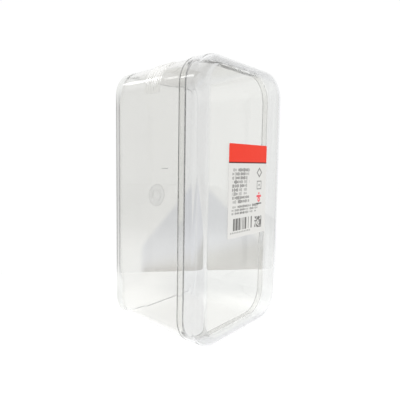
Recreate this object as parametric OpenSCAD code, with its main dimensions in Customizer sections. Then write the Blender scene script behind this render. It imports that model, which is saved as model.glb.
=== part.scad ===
// Clear plastic box with a push-on lid, standing on its short end.
// Millimetres. +Z is up, the lid faces -Y and the base of the box faces +Y.
// The origin is on the standing surface, below the middle of the box.

/* [Box] */
// Overall length of the box, which is its height as it stands
box_length = 200; // [120:1:300]
// Overall width across the lid
box_width = 106; // [80:0.5:200]
// Plan radius of the corners, measured on the lid
corner_radius = 22.3; // [16:0.1:30]
// Depth of the body from its base to the shoulder that stops the lid
body_depth = 68; // [50:0.1:140]
// Thickness of the body's side walls
wall = 2.6; // [1.6:0.1:3]
// Thickness of the body's base
base_thickness = 2.8; // [1.6:0.1:4]
// Radius round the outer edge of the base
base_edge_radius = 1; // [0.5:0.1:3]
// Radius round the inside of the base
base_fillet_radius = 1.5; // [0.5:0.1:5]
// Draft of the body's walls in degrees
body_draft = 2.7; // [0.5:0.1:4]

/* [Rim] */
// How far the shoulder stays inside the edge of the lid
shoulder_inset = 0.6; // [0.4:0.1:1]
// Height of the neck that goes up inside the lid
neck_height = 4.7; // [3:0.1:9]
// Rounding of the neck's outer lip
neck_lip_radius = 0.5; // [0.2:0.1:0.6]

/* [Lid] */
// Depth of the lid from its edge to its face
lid_depth = 20; // [14:0.1:30]
// Thickness of the lid's skirt
lid_wall = 1.6; // [1.2:0.1:2]
// Thickness of the lid's face
lid_face_thickness = 2.2; // [1.2:0.1:3]
// Radius round the outer edge of the lid's face
lid_edge_radius = 7.8; // [5:0.1:9]
// Draft of the lid's skirt in degrees
lid_draft = 0.3; // [0.2:0.1:1]
// Room between the neck and the inside of the skirt
lid_clearance = 0.2; // [0.1:0.05:0.4]

/* [Base mark] */
// Diameter of the shallow round recess in the base
mark_diameter = 19; // [15:0.5:30]
// Diameter of the plain ring left standing in the recess
mark_ring_diameter = 11; // [8:0.5:13]
// Width of that ring
mark_ring_width = 1.2; // [0.8:0.1:2]
// Depth of the recess
mark_depth = 0.4; // [0.2:0.1:0.8]
// How far the recess sits to the left of the middle of the base
mark_offset = 5; // [0:0.5:10]

/* [Label] */
// Width of the label on the lid
label_width = 50.4; // [30:0.1:56]
// Height of the label
label_height = 66.6; // [40:0.1:72]
// Thickness of the label
label_thickness = 0.15; // [0.1:0.05:0.3]
// Radius of the label's corners
label_corner_radius = 1; // [0.5:0.1:3]
// How far the label sits to the right of the middle of the lid
label_offset_x = 1.8; // [-3:0.1:3]
// How far the label sits above the middle of the lid
label_offset_z = 8.5; // [-10:0.1:10]

/* [Tape] */
// Width of the clear tape over the top corner of the body
tape_width = 16.5; // [8:0.5:20]
// Thickness of the tape
tape_thickness = 0.15; // [0.1:0.05:0.3]
// Distance from the shoulder to the near edge of the tape
tape_from_shoulder = 18; // [5:0.5:25]
// Length of the tape that runs down the side wall
tape_side_tail = 3; // [2:0.5:20]
// Length of the tape that runs along the end wall
tape_end_tail = 24; // [5:0.5:40]
// Adhesive between the tape and the wall
tape_adhesive = 0.05; // [0.02:0.01:0.1]

/* [Hidden] */
$fn = 96;
overlap = 1;

box_depth = body_depth + lid_depth + label_thickness;
base_y = box_depth / 2;
lid_face_y = label_thickness - box_depth / 2;
middle_z = box_length / 2;
corner_x = box_width / 2 - corner_radius;
corner_y = box_length / 2 - corner_radius;

body_height = body_depth + neck_height;
shoulder_radius = corner_radius - shoulder_inset;
neck_radius = corner_radius - lid_wall - lid_clearance;
lid_inner_radius = corner_radius - lid_wall;

// Radius of a drafted wall at a height below the level where it has rim_radius.
function drafted(rim_radius, drop, draft) = rim_radius - drop * tan(draft);

// Outer radius of the body's wall at a height above its base.
function body_radius(h) = drafted(shoulder_radius, body_depth - h, body_draft);

// Section of a solid cup from its middle to a drafted wall, with a rounded bottom edge.
module cup_section(rim_radius, height, draft, edge_radius) {
    foot_radius = drafted(rim_radius, height, draft);
    round_x = foot_radius + edge_radius * tan(draft) - edge_radius / cos(draft);
    polygon([
        [0, 0],
        [round_x, 0],
        [round_x + edge_radius * cos(draft), edge_radius - edge_radius * sin(draft)],
        [rim_radius, height],
        [0, height]
    ]);
    translate([round_x, edge_radius]) circle(r = edge_radius);
}

// Section of the neck, straight, with a rounded outer lip.
module neck_section() {
    square([neck_radius - neck_lip_radius, neck_height]);
    square([neck_radius, neck_height - neck_lip_radius]);
    translate([neck_radius - neck_lip_radius, neck_height - neck_lip_radius]) circle(r = neck_lip_radius);
}

// Sweeps a section round the rounded rectangle of the box and closes the flat middle.
module sweep_tray(floor_thickness) {
    for (turn = [0:3]) {
        side_x = turn % 2 == 0 ? corner_x : corner_y;
        side_y = turn % 2 == 0 ? corner_y : corner_x;
        rotate(90 * turn) {
            translate([side_x, side_y, 0]) rotate_extrude(angle = 90) children();
            translate([side_x, side_y, 0]) rotate([90, 0, 0]) linear_extrude(2 * side_y) children();
        }
    }
    translate([-corner_x, -corner_y, 0]) cube([2 * corner_x, 2 * corner_y, floor_thickness]);
}

module body_section() {
    inner_height = body_height - base_thickness + overlap;
    difference() {
        union() {
            cup_section(shoulder_radius, body_depth, body_draft, base_edge_radius);
            translate([0, body_depth]) neck_section();
        }
        translate([0, base_thickness])
            cup_section(body_radius(body_height + overlap) - wall, inner_height, body_draft, base_fillet_radius);
    }
}

module lid_section() {
    inner_height = lid_depth - lid_face_thickness + overlap;
    inner_rim_radius = drafted(lid_inner_radius, -overlap, lid_draft);
    difference() {
        cup_section(corner_radius, lid_depth, lid_draft, lid_edge_radius);
        translate([0, lid_face_thickness])
            cup_section(inner_rim_radius, inner_height, lid_draft, lid_edge_radius - lid_face_thickness);
    }
}

// Stands a tray on its end with its base at the back of the box.
module stand_from_base() {
    translate([0, base_y, middle_z]) rotate([90, 0, 0]) children();
}

// Stands a tray on its end with its base as the face of the lid.
module stand_from_face() {
    translate([0, lid_face_y, middle_z]) rotate([-90, 0, 0]) children();
}

// Shallow round recess with a plain ring left standing in it.
module base_mark() {
    difference() {
        cylinder(d = mark_diameter, h = mark_depth);
        difference() {
            cylinder(d = mark_ring_diameter, h = mark_depth);
            cylinder(d = mark_ring_diameter - 2 * mark_ring_width, h = mark_depth);
        }
    }
}

module box_body() {
    color([0.86, 0.88, 0.87, 0.35])
    stand_from_base() difference() {
        sweep_tray(base_thickness) body_section();
        translate([-mark_offset, 0, 0]) base_mark();
    }
}

module lid() {
    color([0.88, 0.90, 0.88, 0.35])
    stand_from_face() sweep_tray(lid_face_thickness) lid_section();
}

module label() {
    inset_w = label_width - 2 * label_corner_radius;
    inset_h = label_height - 2 * label_corner_radius;
    color([0.93, 0.93, 0.91])
    translate([label_offset_x, lid_face_y, middle_z + label_offset_z])
        rotate([90, 0, 0]) linear_extrude(label_thickness) {
            square([label_width, inset_h], center = true);
            square([inset_w, label_height], center = true);
            for (x = [-1, 1], z = [-1, 1])
                translate([x * inset_w / 2, z * inset_h / 2]) circle(r = label_corner_radius);
        }
}

// Strip of tape that lies on the drafted wall between two heights of the body.
module tape_section() {
    high = body_depth - tape_from_shoulder;
    low = high - tape_width;
    polygon([
        for (layer = [tape_adhesive, tape_adhesive + tape_thickness])
            for (h = layer == tape_adhesive ? [low, high] : [high, low])
                [body_radius(h) + layer, h]
    ]);
}

module clear_tape() {
    color([0.90, 0.90, 0.86, 0.5])
    stand_from_base() translate([-corner_x, corner_y, 0]) {
        rotate(90) rotate_extrude(angle = 90) tape_section();
        rotate(180) translate([0, tape_side_tail, 0])
            rotate([90, 0, 0]) linear_extrude(tape_side_tail) tape_section();
        rotate(90) rotate([90, 0, 0]) linear_extrude(tape_end_tail) tape_section();
    }
}

box_body();
lid();
label();
clear_tape();
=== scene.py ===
"""Clear plastic box with a push-on lid, standing on its short end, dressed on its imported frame."""

from math import atan2, cos, pi, radians, sin, tan

import bmesh
import bpy
from mathutils import Matrix, Vector, noise


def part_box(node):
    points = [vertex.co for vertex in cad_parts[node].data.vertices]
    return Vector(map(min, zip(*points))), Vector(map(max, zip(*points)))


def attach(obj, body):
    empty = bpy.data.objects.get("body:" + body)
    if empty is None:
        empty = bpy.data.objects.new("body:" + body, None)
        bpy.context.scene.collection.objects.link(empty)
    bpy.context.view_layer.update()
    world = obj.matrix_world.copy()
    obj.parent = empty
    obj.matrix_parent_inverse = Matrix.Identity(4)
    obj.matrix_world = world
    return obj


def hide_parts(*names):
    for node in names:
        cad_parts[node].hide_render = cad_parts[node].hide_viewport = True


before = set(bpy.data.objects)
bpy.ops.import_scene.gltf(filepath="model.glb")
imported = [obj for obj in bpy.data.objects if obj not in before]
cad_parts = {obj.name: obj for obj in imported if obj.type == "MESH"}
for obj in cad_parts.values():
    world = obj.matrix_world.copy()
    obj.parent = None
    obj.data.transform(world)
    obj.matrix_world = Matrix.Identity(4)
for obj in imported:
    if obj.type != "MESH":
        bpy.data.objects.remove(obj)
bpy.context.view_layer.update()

# Sizes of the moulded box, in metres
MM = 0.001
CORNER_RADIUS = 22.3 * MM
SHOULDER_INSET = 0.6 * MM
WALL = 2.6 * MM
BASE_THICKNESS = 2.8 * MM
BASE_ROUNDING = 1 * MM
BASE_FILLET = 1.5 * MM
NECK_CLEARANCE = 0.2 * MM
NECK_ROUNDING = 0.5 * MM
LID_WALL = 1.6 * MM
LID_FACE = 2.2 * MM
LID_ROUNDING = 7.8 * MM
LIP_ROUNDING = 0.15 * MM
LABEL_GLUE = 0.03 * MM
BODY_DRAFT = tan(radians(2.7))
LID_DRAFT = tan(radians(0.3))

# Shallow round mark moulded in the base, and the scar of the mould's gate above it
MARK_RADIUS = 9.5 * MM
MARK_RING_RADIUS = 5.5 * MM
MARK_RING_WIDTH = 1.2 * MM
MARK_LINE_WIDTH = 1.6 * MM
MARK_DEPTH = 0.4 * MM
MARK_SHIFT = 5 * MM
GATE_LENGTH = 8 * MM
GATE_WIDTH = 0.6 * MM
GATE_X = 4.8 * MM
GATE_Z = 122.7 * MM

# Clear tape over the top corner
TAPE_THICKNESS = 0.06 * MM
TAPE_LIFT = 0.06 * MM
TAPE_WRINKLE = 0.9 * MM
TAPE_RAGGED = 5 * MM
TAPE_SIDE = 3 * MM
TAPE_STEPS = 110
RIDGE_TURNS = 46
RIDGE_WANDER = 2.5
RIDGE_SHARPNESS = 2.5

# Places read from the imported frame
body_low, body_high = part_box("box_body")
lid_low, lid_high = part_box("lid")
label_low, label_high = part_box("label")
tape_low, tape_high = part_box("clear_tape")
base_y = body_high.y
neck_y = body_low.y
shoulder_y = lid_high.y
face_y = lid_low.y
middle_z = lid_high.z / 2
corner_x = lid_high.x - CORNER_RADIUS
corner_z = middle_z - CORNER_RADIUS

# Smoothness of the rebuilt shells
CORNER_STEPS = 32
FILLET_STEPS = 14
LIP_STEPS = 6
LARGE_ROUNDING = 2 * MM
MERGE = 1e-6
SHARP_ANGLE = radians(40)
FLAT_WEIGHT = 90

# Clear plastic: tints, and how they change over the shells
PLASTIC_IOR = 1.57
BODY_TINT = (0.885, 0.885, 0.87)
LID_TINT = (0.925, 0.93, 0.915)
SKIRT_TINT = (0.87, 0.875, 0.88)
RIM_TINT = (0.925, 0.925, 0.915)
# Painted light that lifts the shade at the foot of the base
FOOT_PAINTED_LIGHT = (0.99, 0.99, 0.98)
# Painted shade of the dark lines in the seams
SEAM_SHADE_COLOUR = (0.42, 0.42, 0.41)
# Painted shade on the lines of the round mark
MARK_SHADE_COLOUR = (0.3, 0.3, 0.28)
SCAR_TINT = (0.25, 0.25, 0.24)
TINT_DRIFT = 0.985
STREAK_DEPTH = 0.95
CLOUD_SCALE = 38
WAVE_SCALE = 26
HAIR_SCALE = (1400, 1400, 70)
HAIR_TURN = (0.3, 0.5, 0.2)
HAIR_ROUGHNESS = 0.06
STREAK_SCALE = (350, 350, 9)
MARK_FROST = 0.3
MARK_SHADE_AMOUNT = 0.12
TAPE_HAZE = 0.12

# Painted shade on the left edge of the base, lighter towards the corners: colours, and heights above the
# base in millimetres
EDGE_SHADE_GREY = (0.70, 0.70, 0.69)
EDGE_SHADE_DARK = (0.42, 0.42, 0.41)
EDGE_PAINTED_LIGHT = (0.82, 0.83, 0.81)
EDGE_SHADE_TOP = 5.1
EDGE_SHADE_HIGH_BAR = 3.7
EDGE_SHADE_LOW_BAR = 2.2
EDGE_SHADE_COVER = 0.9
FLAT_BASE = 0.97

# Layout of the label, in millimetres from its middle
HEAD_FOOT = 19.7
FOOT_HEIGHT = 0.9
TEXT_LEFT = -20.8
LETTER = 1.3
WORD = 6.5
BAR = 0.75
BARS_U = (-20.2, 6.7)
BARS_V = (-28.2, -19.5)
DASH = 2.2
DASHES_U = (-22.6, 4.5)
DASHES_V = -29.6
CELL = 1.05
CELLS_U = (9.7, 19.9)
CELLS_V = (-29.0, -20.4)
SIGN_U = 15.2
LOZENGE_V = 12.9
SQUARE_V = 3.4
DOT_V = -2.9
CROSSBAR_V = -5
RING_V = -7.6
RULE_V = -10.6

# Blocks of text: top, rows, pitch, height of the letters, longest line, raggedness
TEXT_BLOCKS = ((16.4, 9, 2.82, 2.3, 4.8, 8), (-10.1, 3, 2.3, 1.7, 18.5, 9))

# Colours of the label
PAPER = ((0.75, 0.745, 0.72), (0.69, 0.685, 0.66))
PAPER_BACK = (0.86, 0.86, 0.84)
RED = ((0.87, 0.043, 0.017), (0.80, 0.034, 0.012))
RED_FOOT = (0.10, 0.018, 0.014)
RED_SIGN = (0.80, 0.10, 0.12)
INK = (0.05, 0.048, 0.045)

# Camera, and its level direction
CAMERA_PLACE = Vector((-248.01, -201.54, 128.21)) * MM
CAMERA_LOOK = Vector((0.7728, 0.6278, -0.0930)).normalized()
CAMERA_ROLL = radians(0.859)
CAMERA_LENS = 36.012
CAMERA_SENSOR = 36
CAMERA_NEAR = 0.01
AHEAD = CAMERA_LOOK.xy.normalized()

# Table top, in metres
FLOOR_FAR = 0.148
FLOOR_TURN = radians(8.5)
FLOOR_HALF = 2
FLOOR_DROP = 0.05 * MM
FLOOR_GREYS = (0.20, 0.22)
FAR_GLOW = (0.76, 0.76, 0.76)
SHADE_GLOW = (0.70, 0.71, 0.72)
SIDE_GLOW = (0.34, 0.34, 0.34)

# Light of the room, and the soft shades in it that show through the box
ROOM_LIGHT = 1.01
STRIP_DIM = 0.45
PANEL_LIGHT = 0.5
PANE_LIGHT = 4
WHITE = (1, 1, 1)
HILL_COLOUR = (0.82, 0.83, 0.87)
HILL_STEEPNESS = 1.24
HILL_LEFT = 0.0319
HILL_RIGHT = 0.0435
HILL_BLUR = 0.012
LEDGE_LEFT = (0.73, 0.72, 0.70)
LEDGE_RIGHT = (0.62, 0.61, 0.59)
LEDGE_FOOT = (0.62, 0.60, 0.58)
BEHIND_LEFT = (-0.155, -0.135)
BEHIND_RIGHT = (0.175, 0.15)

# Bright panes seen in the corner: turn, half width, height and half height as parts of a direction
PANES = (
    (radians(-161), 0.085, 0.57, 0.032),
    (radians(-149.5), 0.024, 0.537, 0.016),
    (radians(-137), 0.04, 0.52, 0.03),
)

# Light paths long enough to leave a clear shell
LIGHT_BOUNCES = 64


def rgba(colour, share=1.0):
    """Colour with full alpha, darkened to a share."""
    return (*[share * part for part in colour], 1)


def smooth_step(value):
    """Eased step from 0 to 1."""
    value = min(max(value, 0), 1)
    return value * value * (3 - 2 * value)


class Wire:
    """One output of a node, with arithmetic that adds Math nodes."""

    def __init__(self, finish, socket):
        self.finish = finish
        self.socket = socket

    def math(self, operation, *others):
        return self.finish.math(operation, self, *others)

    def __add__(self, other):
        return self.math("ADD", other)

    def __sub__(self, other):
        return self.math("SUBTRACT", other)

    def __rsub__(self, other):
        return self.finish.math("SUBTRACT", other, self)

    def __mul__(self, other):
        return self.math("MULTIPLY", other)

    def __truediv__(self, other):
        return self.math("DIVIDE", other)

    def __pow__(self, other):
        return self.math("POWER", other)

    def __gt__(self, other):
        return self.math("GREATER_THAN", other)

    def __lt__(self, other):
        return self.math("LESS_THAN", other)

    def __abs__(self):
        return self.math("ABSOLUTE")

    __radd__ = __add__
    __rmul__ = __mul__


class Finish:
    """The node tree of one finish."""

    def __init__(self, tree):
        tree.nodes.clear()
        self.tree = tree

    def node(self, kind, settings=None, inputs=None, output=0):
        """New node with its settings, and the values or links of its sockets."""
        made = self.tree.nodes.new(kind)
        for key, value in (settings or {}).items():
            setattr(made, key, value)
        for key, value in (inputs or {}).items():
            if isinstance(value, Wire):
                self.tree.links.new(value.socket, made.inputs[key])
            else:
                made.inputs[key].default_value = value
        return Wire(self, made.outputs[output])

    def math(self, operation, *values):
        return self.node("ShaderNodeMath", {"operation": operation}, dict(enumerate(values)))

    def larger(self, first, *others):
        """Largest of some values."""
        for other in others:
            first = self.math("MAXIMUM", first, other)
        return first

    def mix(self, amount, first, second):
        return self.node("ShaderNodeMix", {"data_type": "RGBA"}, {0: amount, 6: first, 7: second}, 2)

    def ease(self, value, start, end, low=0.0, high=1.0):
        """Smooth step from low at start to high at end."""
        inputs = {0: value, 1: start, 2: end, 3: low, 4: high}
        return self.node("ShaderNodeMapRange", {"interpolation_type": "SMOOTHSTEP"}, inputs)

    def between(self, value, low, high):
        return (value > low) * (value < high)

    def grain(self, place, scale, detail=2.0):
        return self.node("ShaderNodeTexNoise", None, {"Vector": place, "Scale": scale, "Detail": detail})

    def random(self, first, second):
        """Random value of a cell."""
        cell = self.node("ShaderNodeCombineXYZ", None, {0: first, 1: second})
        return self.node("ShaderNodeTexWhiteNoise", {"noise_dimensions": "2D"}, {"Vector": cell})

    def place(self):
        return self.node("ShaderNodeTexCoord", output="Object")

    def axes(self, vector):
        """The three parts of a vector."""
        split = self.node("ShaderNodeSeparateXYZ", None, {0: vector}).socket.node
        return [Wire(self, output) for output in split.outputs]

    def stretched(self, vector, scale, turn=(0, 0, 0)):
        inputs = {"Vector": vector, "Scale": scale, "Rotation": turn}
        return self.node("ShaderNodeMapping", None, inputs)

    def bump(self, height, depth):
        return self.node("ShaderNodeBump", None, {"Strength": 0.15, "Distance": depth, "Height": height})

    def principled(self, inputs):
        return self.node("ShaderNodeBsdfPrincipled", None, inputs)

    def surface(self, shader, kind="ShaderNodeOutputMaterial"):
        end = self.tree.nodes.new(kind)
        self.tree.links.new(shader.socket, end.inputs["Surface"])


def new_finish(name):
    """Empty material, and the node tree to fill."""
    material = bpy.data.materials.new(name)
    material.use_nodes = True
    return material, Finish(material.node_tree)


# Shells


def section(bm, corners):
    """Wire of the wall's section beside a corner axis, from (radius, y, rounding) corners."""
    verts = [bm.verts.new((corner_x + radius, y, corner_z)) for radius, y, _ in corners]
    for first, second in zip(verts, verts[1:]):
        bm.edges.new((first, second))
    for vert, (_, _, rounding) in zip(verts, corners):
        if rounding:
            steps = FILLET_STEPS if rounding > LARGE_ROUNDING else LIP_STEPS
            bmesh.ops.bevel(
                bm, geom=[vert], offset=rounding, offset_type="OFFSET",
                affect="VERTICES", segments=steps, profile=0.5, material=-1,
            )


def pull_out(bm, edges, move):
    """Extrudes edges along a vector."""
    made = bmesh.ops.extrude_edge_only(bm, edges=edges)["geom"]
    bmesh.ops.translate(bm, verts=[v for v in made if isinstance(v, bmesh.types.BMVert)], vec=move)


def swept_tray(corners):
    """Tray wall swept round the box's rounded rectangle, open at the flat middles of its floor."""
    bm = bmesh.new()
    section(bm, corners)
    first = bm.edges[:]
    turned = bmesh.ops.spin(
        bm, geom=bm.verts[:] + first, cent=(corner_x, 0, corner_z), axis=(0, -1, 0),
        angle=pi / 2, steps=CORNER_STEPS, use_merge=False,
    )["geom_last"]
    pull_out(bm, first, (0, 0, -corner_z))
    pull_out(bm, [e for e in turned if isinstance(e, bmesh.types.BMEdge)], (-corner_x, 0, 0))
    bmesh.ops.remove_doubles(bm, verts=bm.verts[:], dist=MERGE)
    for axis in "XZ":
        geom = bm.verts[:] + bm.edges[:] + bm.faces[:]
        bmesh.ops.mirror(bm, geom=geom, matrix=Matrix.Identity(4), merge_dist=MERGE, axis=axis)
    bmesh.ops.remove_doubles(bm, verts=bm.verts[:], dist=MERGE)
    return bm


def close_floor(bm, y):
    """Fills the open flat middle at one level of the floor."""
    rim = [e for e in bm.edges if e.is_boundary and all(abs(v.co.y - y) < MERGE for v in e.verts)]
    bmesh.ops.triangle_fill(bm, use_beauty=True, edges=rim)


def add_base_mark(bm):
    """Shallow recess in the base with a plain ring left standing in it."""
    floor = base_y - MARK_DEPTH
    ring_inside = MARK_RING_RADIUS - MARK_RING_WIDTH
    outline = [
        (MARK_RADIUS, base_y), (MARK_RADIUS, floor), (MARK_RING_RADIUS, floor),
        (MARK_RING_RADIUS, base_y), (ring_inside, base_y), (ring_inside, floor), (0, floor),
    ]
    verts = [bm.verts.new((radius - MARK_SHIFT, y, 0)) for radius, y in outline]
    edges = [bm.edges.new(pair) for pair in zip(verts, verts[1:])]
    bmesh.ops.spin(
        bm, geom=verts + edges, cent=(-MARK_SHIFT, 0, 0), axis=(0, 1, 0),
        angle=2 * pi, steps=2 * CORNER_STEPS, use_merge=True,
    )
    bmesh.ops.remove_doubles(bm, verts=bm.verts[:], dist=MERGE)


def finished_piece(name, bm, material, body, node):
    """Turns a bmesh into a piece that rides on a body and stands for a node of the frame."""
    bmesh.ops.recalc_face_normals(bm, faces=bm.faces[:])
    bmesh.ops.translate(bm, verts=bm.verts[:], vec=(0, 0, middle_z))
    mesh = bpy.data.meshes.new(name)
    bm.to_mesh(mesh)
    bm.free()
    mesh.shade_smooth()
    mesh.set_sharp_from_angle(angle=SHARP_ANGLE)
    mesh.materials.append(material)
    piece = bpy.data.objects.new(name, mesh)
    bpy.context.scene.collection.objects.link(piece)
    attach(piece, body)
    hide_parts(node)
    return piece


def keep_flats_flat(piece):
    """Lets the large flat faces set the normals where they run into a rounding."""
    modifier = piece.modifiers.new("face_weighted", "WEIGHTED_NORMAL")
    modifier.keep_sharp = True
    modifier.weight = FLAT_WEIGHT


def wall_radius(y):
    """Outer radius of the body's drafted wall."""
    return CORNER_RADIUS - SHOULDER_INSET - (y - shoulder_y) * BODY_DRAFT


def make_body(material):
    """Tray with a drafted wall, a shoulder and a straight neck."""
    inner_y = base_y - BASE_THICKNESS
    neck_radius = CORNER_RADIUS - LID_WALL - NECK_CLEARANCE
    bm = swept_tray([
        (0, base_y, 0),
        (wall_radius(base_y), base_y, BASE_ROUNDING),
        (wall_radius(shoulder_y), shoulder_y, LIP_ROUNDING),
        (neck_radius, shoulder_y, 0),
        (neck_radius, neck_y, NECK_ROUNDING),
        (wall_radius(neck_y) - WALL, neck_y, LIP_ROUNDING),
        (wall_radius(inner_y) - WALL, inner_y, BASE_FILLET),
        (0, inner_y, 0),
    ])
    add_base_mark(bm)
    close_floor(bm, base_y)
    close_floor(bm, inner_y)
    keep_flats_flat(finished_piece("box_shell", bm, material, "body", "box_body"))


def make_lid(material):
    """Cap with a large rounding round its face, which lies a film of glue behind the label."""
    outer_y = face_y + LABEL_GLUE
    inner_y = face_y + LID_FACE
    skirt = CORNER_RADIUS - LID_WALL
    bm = swept_tray([
        (0, outer_y, 0),
        (CORNER_RADIUS - (shoulder_y - outer_y) * LID_DRAFT, outer_y, LID_ROUNDING),
        (CORNER_RADIUS, shoulder_y, LIP_ROUNDING),
        (skirt, shoulder_y, LIP_ROUNDING),
        (skirt - (shoulder_y - inner_y) * LID_DRAFT, inner_y, LID_ROUNDING - LID_FACE),
        (0, inner_y, 0),
    ])
    close_floor(bm, outer_y)
    close_floor(bm, inner_y)
    keep_flats_flat(finished_piece("lid_shell", bm, material, "lid", "lid"))


# Tape


def tape_point(along, y, lift):
    """Point on the wall under the tape, from the side wall over the corner to the end wall."""
    radius = wall_radius(y) + TAPE_LIFT + lift
    arc = wall_radius(y) * pi / 2
    angle = min(max((along - TAPE_SIDE) / wall_radius(y), 0), pi / 2)
    down = max(TAPE_SIDE - along, 0)
    over = max(along - TAPE_SIDE - arc, 0)
    return Vector((over - corner_x - radius * cos(angle), y, corner_z + radius * sin(angle) - down))


def tape_fold(share, across):
    """Height of the tape's wrinkles, which run round the corner and fan out towards the side wall."""
    fan = across * (1.2 - 0.5 * share)
    wander = RIDGE_WANDER * noise.noise((fan * 5, share * 1.5, 5))
    ridges = 0.5 + 0.5 * sin(RIDGE_TURNS * fan + wander)
    height = 0.65 + 0.6 * noise.noise((fan * 4, share * 2, 8))
    bend = sin(pi * min(share / 0.8, 1)) ** 0.8
    edge = smooth_step((0.5 - abs(across)) / 0.06)
    return ridges ** RIDGE_SHARPNESS * height * bend * edge


def make_tape(material):
    """Thin film that follows the wall below and is wrinkled above."""
    bm = bmesh.new()
    bmesh.ops.create_grid(bm, x_segments=TAPE_STEPS, y_segments=TAPE_STEPS, size=0.5)
    top = bmesh.ops.extrude_face_region(bm, geom=bm.faces[:], use_keep_orig=True)["geom"]
    top = {v for v in top if isinstance(v, bmesh.types.BMVert)}
    length = TAPE_SIDE + wall_radius(tape_low.y) * pi / 2 + tape_high.x + corner_x
    width = tape_high.y - tape_low.y
    middle_y = (tape_low.y + tape_high.y) / 2
    for vert in bm.verts:
        share = vert.co.x + 0.5
        across = vert.co.y
        ragged = abs(noise.noise((across * 9, share * 0.5, 2))) * TAPE_RAGGED * (1 - share) ** 4
        lift = TAPE_THICKNESS + TAPE_WRINKLE * tape_fold(share, across) if vert in top else 0
        vert.co = tape_point(share * length + ragged, middle_y + across * width, lift)
    finished_piece("tape_strip", bm, material, "body", "clear_tape")


# Finish of the clear plastic


class MouldedPlace:
    """Place on the moulded box: object axes, distances past the corner axes, and a soft cloud."""

    def __init__(self, made):
        self.place = made.place()
        self.x, self.y, self.z = made.axes(self.place)
        self.from_middle = abs(self.z - middle_z)
        self.past_x = made.larger(abs(self.x) - corner_x, 0)
        self.past_z = made.larger(self.from_middle - corner_z, 0)
        self.out = made.math("SQRT", self.past_x ** 2 + self.past_z ** 2)
        self.cloud = made.grain(self.place, CLOUD_SCALE)


def plain_plastic(made, at, tint):
    """Tint that drifts a little, and roughness of a few hair scuffs."""
    colour = made.mix(at.cloud, rgba(tint, TINT_DRIFT), rgba(tint))
    hairs = made.grain(made.stretched(at.place, HAIR_SCALE, HAIR_TURN), 1.0, 1.0)
    return colour, HAIR_ROUGHNESS * made.ease(hairs, 0.78, 0.82)


def seam_shade(made, at, colour, gap):
    """Painted shade: dark line of light lost in the seam, fading to the ends and weaker on the right."""
    ends = made.ease(at.past_z, 14 * MM, 4 * MM)
    left = made.ease(at.x, 20 * MM, -20 * MM, 0.4, 1.0)
    return made.mix(gap * ends * left, colour, rgba(SEAM_SHADE_COLOUR))


def clear_shader(made, at, colour, rough):
    """Clear gloss plastic with slight flow waves."""
    waves = made.grain(at.place, WAVE_SCALE, 1.0)
    return made.principled({
        "Base Color": colour, "Roughness": rough, "IOR": PLASTIC_IOR,
        "Transmission Weight": 1.0, "Normal": made.bump(waves, 0.3 * MM),
    })


def base_marks(made, at, colour, rough):
    """Frosted round mark with painted shade on its two lines, and the gate scar."""
    outside = at.y > base_y - 2 * MARK_DEPTH
    ring = made.math("SQRT", (at.x + MARK_SHIFT) ** 2 + (at.z - middle_z) ** 2)
    rough = rough + MARK_FROST * (ring < MARK_RADIUS) * outside
    lines = made.between(ring, MARK_RADIUS - MARK_LINE_WIDTH, MARK_RADIUS)
    lines = lines + made.between(ring, MARK_RING_RADIUS - MARK_RING_WIDTH, MARK_RING_RADIUS)
    colour = made.mix(MARK_SHADE_AMOUNT * lines * outside, colour, rgba(MARK_SHADE_COLOUR))
    scar = (abs(at.x - GATE_X) < GATE_LENGTH / 2) * (abs(at.z - GATE_Z) < GATE_WIDTH / 2)
    return made.mix(scar * outside, colour, rgba(SCAR_TINT)), rough


def taped_haze(made, at):
    """Roughness of the glue under the tape."""
    taped = made.between(at.y, tape_low.y, tape_high.y) * (at.z > middle_z + corner_z)
    taped = taped * (at.x < -corner_x) * (at.out > wall_radius(tape_high.y) - 0.2 * MM)
    return TAPE_HAZE * taped


def foot_painted_light(made, at, colour):
    """Painted light: paler plastic where the base runs into the lower end wall, so that little light is
    lost there.
    """
    foot = made.ease(at.y, base_y - 6 * MM, base_y - 4 * MM) * made.ease(at.z, 34 * MM, 18 * MM)
    fillet = at.y < base_y - BASE_THICKNESS - 0.1 * MM
    fillet = fillet * (at.out > wall_radius(base_y) - WALL - 2 * BASE_FILLET)
    rounding = at.out > wall_radius(base_y) - 1.5 * BASE_ROUNDING
    return made.mix(foot * made.larger(fillet, rounding), colour, rgba(FOOT_PAINTED_LIGHT))


def edge_painted_shade(made, at, shader):
    """Painted shade on the left edge of the base: a grey band with two dark bars, painted pale towards
    the corners.
    """
    facing = made.axes(made.node("ShaderNodeNewGeometry", output="Normal"))[1]
    pale = made.ease(at.from_middle, corner_z - 10 * MM, corner_z + 6 * MM)
    pale = made.larger(pale, made.ease(at.z, 52 * MM, 34 * MM))
    height = (base_y - at.y) / MM
    edge = made.ease(height - 3 * pale, EDGE_SHADE_TOP, EDGE_SHADE_TOP - 0.2) * made.ease(at.z, 6 * MM, 16 * MM)
    edge = edge * (abs(facing) < FLAT_BASE) * (at.x < -corner_x)
    edge = EDGE_SHADE_COVER * edge * (at.out > wall_radius(base_y) - WALL / 2)
    bars = (height > EDGE_SHADE_HIGH_BAR) + (height < EDGE_SHADE_LOW_BAR)
    grey = made.mix(0.85 * bars + 0.15 * at.cloud, rgba(EDGE_SHADE_GREY), rgba(EDGE_SHADE_DARK))
    grey = made.mix(pale, grey, rgba(EDGE_PAINTED_LIGHT))
    painted_edge = made.principled({"Base Color": grey, "Roughness": 0.5})
    return made.node("ShaderNodeMixShader", None, {0: edge, 1: shader, 2: painted_edge})


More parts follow.
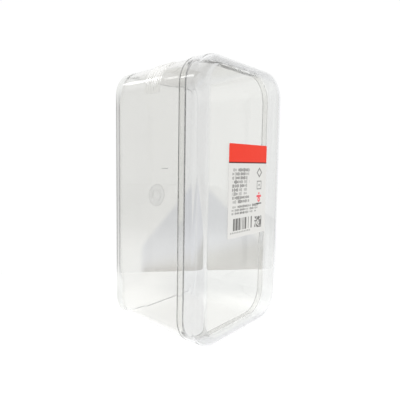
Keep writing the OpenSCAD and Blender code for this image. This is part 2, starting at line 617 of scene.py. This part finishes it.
def body_finish():
    """Clear moulded body with the marks in its base, and painted shade along its seam and on the left
    edge of the base.
    """
    material, made = new_finish("body_clear")
    at = MouldedPlace(made)
    colour, rough = plain_plastic(made, at, BODY_TINT)
    colour = foot_painted_light(made, at, colour)
    colour, rough = base_marks(made, at, colour, rough)
    shoulder = made.ease(abs(at.y - shoulder_y), 0.2 * MM, 0.05 * MM)
    neck_lip = made.ease(at.y, neck_y + 0.4 * MM, neck_y + 0.1 * MM)
    colour = seam_shade(made, at, colour, shoulder + neck_lip)
    shader = clear_shader(made, at, colour, rough + taped_haze(made, at))
    made.surface(edge_painted_shade(made, at, shader))
    return material


def lid_finish():
    """Clear moulded lid with flow streaks round its skirt, a paler rim and painted shade along its seam.
    """
    material, made = new_finish("lid_clear")
    at = MouldedPlace(made)
    colour, rough = plain_plastic(made, at, LID_TINT)
    flow = made.grain(made.stretched(at.place, STREAK_SCALE), 1.0)
    streaks = made.mix(made.ease(flow, 0.35, 0.6), rgba(SKIRT_TINT), rgba(SKIRT_TINT, STREAK_DEPTH))
    bend_start = CORNER_RADIUS - LID_ROUNDING
    colour = made.mix(made.ease(at.out, bend_start - 2 * MM, bend_start + 1 * MM), colour, streaks)
    rim = made.ease(at.y, neck_y - 0.5 * MM, neck_y + 0.5 * MM)
    colour = made.mix(rim, colour, rgba(RIM_TINT))
    lid_edge = made.ease(at.y, shoulder_y - 0.2 * MM, shoulder_y - 0.05 * MM)
    colour = seam_shade(made, at, colour, lid_edge)
    made.surface(clear_shader(made, at, colour, rough))
    return material


def tape_finish():
    """Clear tape film, a little yellow and hazy with trapped air."""
    material, made = new_finish("tape_film")
    haze = made.grain(made.place(), 160)
    made.surface(made.principled({
        "Base Color": made.mix(haze, (0.995, 0.995, 0.985, 1), (0.985, 0.98, 0.965, 1)),
        "Roughness": 0.02 + 0.06 * made.ease(haze, 0.5, 0.75),
        "IOR": 1.48, "Transmission Weight": 1.0,
    }))
    return material


# Finish of the label


def print_lines(made, u, v):
    """Ragged rows of random dashes that stand for lines of print."""
    ink = 0
    for top, rows, pitch, height, longest, ragged in TEXT_BLOCKS:
        depth = (top - v) / pitch
        row = made.math("FLOOR", depth)
        letter = u / LETTER + 9 * made.random(row, 7)
        tall = height * (0.28 + 0.3 * made.random(made.math("FLOOR", letter), row))
        stroke = (made.math("FRACT", letter) < 0.7) * (abs(depth - row - 0.5) * pitch < tall)
        word = u / WORD + 5 * made.random(row, 5)
        weight = made.random(made.math("FLOOR", word), row + 20)
        spelt = made.math("FRACT", word) < 0.66 + 0.3 * weight
        reach = made.between(u, TEXT_LEFT, longest - ragged * made.random(row, 3))
        line = stroke * spelt * reach * made.between(row, -0.5, rows - 0.5)
        ink = made.larger(ink, line * (0.5 + 0.5 * weight))
    return ink


def print_codes(made, u, v):
    """Plain bars with a row of dashes below, and a square of plain cells, all filled at random."""
    bars = made.random(made.math("FLOOR", u / BAR), 11) > 0.46
    bars = bars * made.between(u, *BARS_U) * made.between(v, *BARS_V)
    dashes = made.between(u, *DASHES_U) * (abs(v - DASHES_V) < 0.6)
    dashes = dashes * (made.math("FRACT", u / DASH) < 0.55)
    cells = made.random(made.math("FLOOR", u / CELL), made.math("FLOOR", v / CELL)) > 0.38
    cells = cells * made.between(u, *CELLS_U) * made.between(v, *CELLS_V)
    return made.larger(0.9 * bars, 0.6 * dashes, 0.9 * cells)


def print_signs(made, u, v):
    """Two small outlined signs, a lozenge and a square with a dot, over a short rule."""
    across = abs(u - SIGN_U)
    lozenge = made.between(across + abs(v - LOZENGE_V), 2.5, 3.9)
    square = made.larger(across, abs(v - SQUARE_V))
    square = made.larger(made.between(square, 2.5, 3.3), square < 0.8)
    rule = (across < 4) * (abs(v - RULE_V) < 0.45)
    return made.larger(0.8 * lozenge, 0.7 * square, rule)


def red_sign(made, u, v):
    """Small red dot over a bar and a ring."""
    across = abs(u - SIGN_U)
    dot = (across ** 2 + (v - DOT_V) ** 2) < 0.8
    crossbar = (across < 3.3) * (abs(v - CROSSBAR_V) < 0.8)
    ring = made.between(across ** 2 + (v - RING_V) ** 2, 0.5, 3.6)
    return made.larger(dot, crossbar, ring)


def label_finish():
    """Printed label: red head with a dark foot, over pale paper with grey print, and a plain back."""
    material, made = new_finish("label_print")
    place = made.place()
    x, y, z = made.axes(place)
    front = y < (label_low.y + label_high.y) / 2
    u = (x - (label_low.x + label_high.x) / 2) / MM
    v = (z - (label_low.z + label_high.z) / 2) / MM
    fibre = made.grain(made.stretched(place, (1500, 1500, 500)), 1.0, 3.0)
    paper, red = [made.mix(fibre, rgba(light), rgba(dark)) for light, dark in (PAPER, RED)]
    ink = made.larger(print_lines(made, u, v), print_codes(made, u, v), print_signs(made, u, v))
    colour = made.mix(ink * (0.8 + 0.2 * fibre), paper, rgba(INK))
    colour = made.mix(red_sign(made, u, v), colour, rgba(RED_SIGN))
    colour = made.mix(v > HEAD_FOOT, colour, red)
    colour = made.mix(made.between(v, HEAD_FOOT, HEAD_FOOT + FOOT_HEIGHT), colour, rgba(RED_FOOT))
    colour = made.mix(front, rgba(PAPER_BACK), colour)
    made.surface(made.principled({
        "Base Color": colour, "Roughness": 0.38 + 0.12 * fibre,
        "Specular IOR Level": 0.2, "Normal": made.bump(fibre, 0.05 * MM),
    }))
    return material


# Stage


def make_camera():
    """Camera at the photograph's viewing angle, with its slight roll."""
    right = CAMERA_LOOK.cross((0, 0, 1)).normalized()
    up = right.cross(CAMERA_LOOK)
    side = right * cos(CAMERA_ROLL) + up * sin(CAMERA_ROLL)
    top = up * cos(CAMERA_ROLL) - right * sin(CAMERA_ROLL)
    camera = bpy.data.objects.new("camera", bpy.data.cameras.new("camera"))
    camera.data.lens = CAMERA_LENS
    camera.data.sensor_width = CAMERA_SENSOR
    camera.data.clip_start = CAMERA_NEAR
    camera.matrix_world = Matrix((side, top, -CAMERA_LOOK)).transposed().to_4x4()
    camera.location = CAMERA_PLACE
    bpy.context.scene.collection.objects.link(camera)
    bpy.context.scene.camera = camera


def floor_finish():
    """White table that glows, so that a clear box casts a pale shadow, and dims far off and sideways."""
    material, made = new_finish("pale_floor")
    place = made.place()
    x, y, _ = made.axes(place)
    greys = [rgba((grey, grey, grey)) for grey in FLOOR_GREYS]
    colour = made.mix(made.grain(place, 8), *greys)
    reach = x * AHEAD.x + y * AHEAD.y
    side = x * AHEAD.y - y * AHEAD.x
    glow = made.mix(made.ease(reach, 0.02, FLOOR_FAR), rgba(WHITE), rgba(FAR_GLOW))
    # Painted shadow on the table behind the box, seen through it
    shade = made.ease(reach, 0.03, 0.09) * made.ease(side, -0.06, -0.02) * made.ease(side, 0.075, 0.055)
    glow = made.mix(shade, glow, rgba(SHADE_GLOW))
    glow = made.mix(made.ease(abs(side), 0.2, 0.6), glow, rgba(SIDE_GLOW))
    made.surface(made.principled({
        "Base Color": colour, "Roughness": 0.6, "Emission Color": glow, "Emission Strength": 1.0,
    }))
    return material


def make_floor():
    """Table top whose straight far edge shows through the box."""
    bm = bmesh.new()
    bmesh.ops.create_grid(bm, x_segments=1, y_segments=1, size=FLOOR_HALF)
    bmesh.ops.translate(bm, verts=bm.verts[:], vec=(FLOOR_FAR - FLOOR_HALF, 0, -FLOOR_DROP))
    turn = Matrix.Rotation(atan2(AHEAD.y, AHEAD.x) + FLOOR_TURN, 3, "Z")
    bmesh.ops.rotate(bm, verts=bm.verts[:], cent=(0, 0, 0), matrix=turn)
    mesh = bpy.data.meshes.new("floor")
    bm.to_mesh(mesh)
    bm.free()
    mesh.materials.append(floor_finish())
    floor = bpy.data.objects.new("floor", mesh)
    bpy.context.scene.collection.objects.link(floor)


def room_strength(made, x, y, z, depth, right):
    """White all round, with a dim strip at the left, a panel overhead and the bright panes."""
    strip = made.ease(depth, 0.82, 0.45) * made.ease(depth, -0.7, -0.2)
    strip = strip * made.ease(abs(z), 0.45, 0.2) * made.ease(right, 0.3, 0.1)
    strength = ROOM_LIGHT - STRIP_DIM * strip + PANEL_LIGHT * made.ease(z, 0.8, 0.92)
    for turn, half_width, height, half_height in PANES:
        way = Vector((sin(turn), -cos(turn)))
        pane = made.ease(abs(x * way.y - y * way.x), half_width, 0.8 * half_width)
        pane = pane * made.ease(abs(z - height), half_height, 0.6 * half_height)
        strength = strength + PANE_LIGHT * pane * (x * way.x + y * way.y > 0)
    return strength


def room_shades(made, depth, right, z):
    """Soft bluish hill and brownish ledge behind the box, kept within its outline."""
    side = right / depth
    rise = z / depth
    behind = made.ease(side, *BEHIND_LEFT) * made.ease(side, *BEHIND_RIGHT) * (depth > 0.5)
    slopes = made.larger(rise - HILL_STEEPNESS * side + HILL_LEFT, rise + side + HILL_RIGHT)
    hill = made.ease(slopes, HILL_BLUR, -HILL_BLUR) * behind
    ledge = made.ease(rise - 0.25 * side, -0.2, -0.26) * behind
    wood = made.mix(made.ease(side, 0, 0.08), rgba(LEDGE_LEFT), rgba(LEDGE_RIGHT))
    wood = made.mix(made.ease(rise, -0.252, -0.270), wood, rgba(LEDGE_FOOT))
    return made.mix(ledge, made.mix(hill, rgba(WHITE), rgba(HILL_COLOUR)), wood)


def make_light():
    """Pale studio light from all round."""
    world = bpy.data.worlds.new("studio")
    world.use_nodes = True
    bpy.context.scene.world = world
    made = Finish(world.node_tree)
    x, y, z = made.axes(made.node("ShaderNodeTexCoord", output="Generated"))
    depth = x * AHEAD.x + y * AHEAD.y
    right = x * AHEAD.y - y * AHEAD.x
    light = made.node("ShaderNodeBackground", None, {
        "Color": room_shades(made, depth, right, z),
        "Strength": room_strength(made, x, y, z, depth, right),
    })
    made.surface(light, "ShaderNodeOutputWorld")


def set_rendering():
    """Plain tones, and light paths long enough for clear walls one behind another."""
    scene = bpy.context.scene
    scene.view_settings.view_transform = "Standard"
    scene.cycles.max_bounces = LIGHT_BOUNCES
    scene.cycles.transmission_bounces = LIGHT_BOUNCES
    scene.cycles.glossy_bounces = LIGHT_BOUNCES


make_body(body_finish())
make_lid(lid_finish())
make_tape(tape_finish())
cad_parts["label"].data.materials.clear()
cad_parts["label"].data.materials.append(label_finish())
make_camera()
make_floor()
make_light()
set_rendering()
